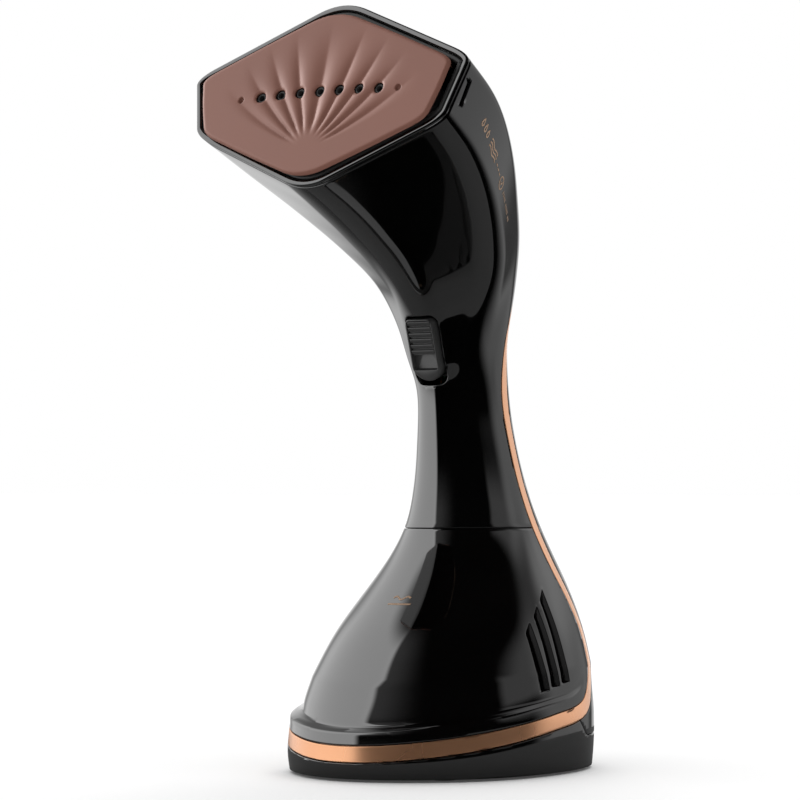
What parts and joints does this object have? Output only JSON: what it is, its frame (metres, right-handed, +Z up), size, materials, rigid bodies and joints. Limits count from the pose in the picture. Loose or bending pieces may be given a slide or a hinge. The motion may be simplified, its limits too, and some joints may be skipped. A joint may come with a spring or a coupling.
{
  "type": "garment steamer",
  "caption": "Hand-held garment steamer standing on its base, with a hexagonal steam plate, trigger with sliding lock, lift-off water tank and copper trim line.",
  "frame": {"origin": "on the surface it stands on, under the middle of its overall box", "axes": "+Z up along its height, -Y the way the steam plate faces, +X to the right of the front view seen from behind the plate"},
  "size_m": [0.1222, 0.16, 0.2842],
  "materials": {
    "gloss_shell": "glossy black moulded plastic",
    "tank_smoke": "glossy dark smoked translucent plastic",
    "copper_trim": "satin copper metallised trim",
    "soleplate_rose": "satin rose-brown coated aluminium with a fine grain",
    "dark_plastic": "satin dark grey moulded plastic",
    "black_rubber": "matte black rubber",
    "steel": "zinc plated or plain steel",
    "cast_aluminium": "as-cast grey aluminium",
    "sheet_aluminium": "plain aluminium sheet",
    "silicone": "milky silicone hose",
    "nylon": "natural nylon",
    "winding": "enamelled copper winding",
    "board": "green glass-fibre laminate"
  },
  "bodies": {
    "housing": {"front_housing": "gloss_shell", "rear_cover": "gloss_shell", "base_shell": "gloss_shell", "trim_band": "copper_trim", "soleplate": "soleplate_rose", "head_bezel": "dark_plastic", "base_plate": "dark_plastic", "tank_cradle": "dark_plastic", "microswitch_body": "dark_plastic", "switch_bracket": "dark_plastic", "relay": "dark_plastic", "steam_nozzle_1": "dark_plastic", "steam_nozzle_2": "dark_plastic", "steam_nozzle_3": "dark_plastic", "steam_nozzle_4": "dark_plastic", "steam_nozzle_5": "dark_plastic", "steam_nozzle_6": "dark_plastic", "steam_nozzle_7": "dark_plastic", "dock_seal": "black_rubber", "cord_gland": "black_rubber", "foot_1": "black_rubber", "foot_2": "black_rubber", "foot_3": "black_rubber", "foot_4": "black_rubber", "heating_element": "steel", "thermostat": "steel", "pump_spring": "steel", "pump_bracket": "steel", "trigger_pin": "steel", "trigger_spring": "steel", "cover_screw_1": "steel", "cover_screw_2": "steel", "base_screw_1": "steel", "base_screw_2": "steel", "base_screw_3": "steel", "base_screw_4": "steel", "boiler_body": "cast_aluminium", "boiler_cover": "cast_aluminium", "capacitor": "cast_aluminium", "heat_shield": "sheet_aluminium", "suction_hose": "silicone", "pressure_hose": "silicone", "thermal_fuse": "nylon", "pump_body": "nylon", "terminal_block": "nylon", "cord_clamp": "nylon", "pump_coil": "winding", "circuit_board": "board"},
    "trigger": {"steam_trigger": "dark_plastic"},
    "slider": {"lock_slider": "gloss_shell"},
    "tank": {"tank_shell": "tank_smoke", "tank_back_wall": "tank_smoke", "valve_seat": "nylon", "valve_spring": "steel", "pickup_tube": "silicone", "pickup_filter": "nylon"},
    "fill_plug": {"tank_fill_plug": "black_rubber"},
    "valve": {"valve_plunger": "nylon"},
    "piston": {"pump_piston": "steel"},
    "switch_button": {"microswitch_button": "nylon"}
  },
  "joints": [
    {"name": "trigger_hinge", "type": "hinge", "parent": "housing", "child": "trigger", "pos_m": [0, 0.00066, 0.17636], "axis": [1, 0, 0], "range_deg": [0, 4.5], "stiffness_Nm_per_rad": 0.8, "deforming": ["trigger_spring"]},
    {"name": "lock_slide", "type": "slide", "parent": "trigger", "child": "slider", "axis": [0, 0.299, -0.9542], "range_m": [0, 0.005]},
    {"name": "tank_slide", "type": "slide", "parent": "housing", "child": "tank", "axis": [0, -1, 0], "range_m": [0, 0.115]},
    {"name": "fill_plug_lift", "type": "slide", "parent": "tank", "child": "fill_plug", "axis": [0, 0, 1], "range_m": [0, 0.008]},
    {"name": "valve_push", "type": "slide", "parent": "tank", "child": "valve", "axis": [0, -1, 0], "range_m": [0, 0.0015], "stiffness_N_per_m": 250, "deforming": ["valve_spring"]},
    {"name": "pump_stroke", "type": "slide", "parent": "housing", "child": "piston", "axis": [1, 0, 0], "range_m": [-0.0015, 0.0015], "stiffness_N_per_m": 900, "deforming": ["pump_spring"]},
    {"name": "switch_press", "type": "slide", "parent": "housing", "child": "switch_button", "axis": [0, 0.9542, 0.299], "range_m": [0, 0.0018]}
  ],
  "couplings": [
    {"joint": "switch_press", "follows": "trigger_hinge", "m_per_rad": 0.022}
  ]
}
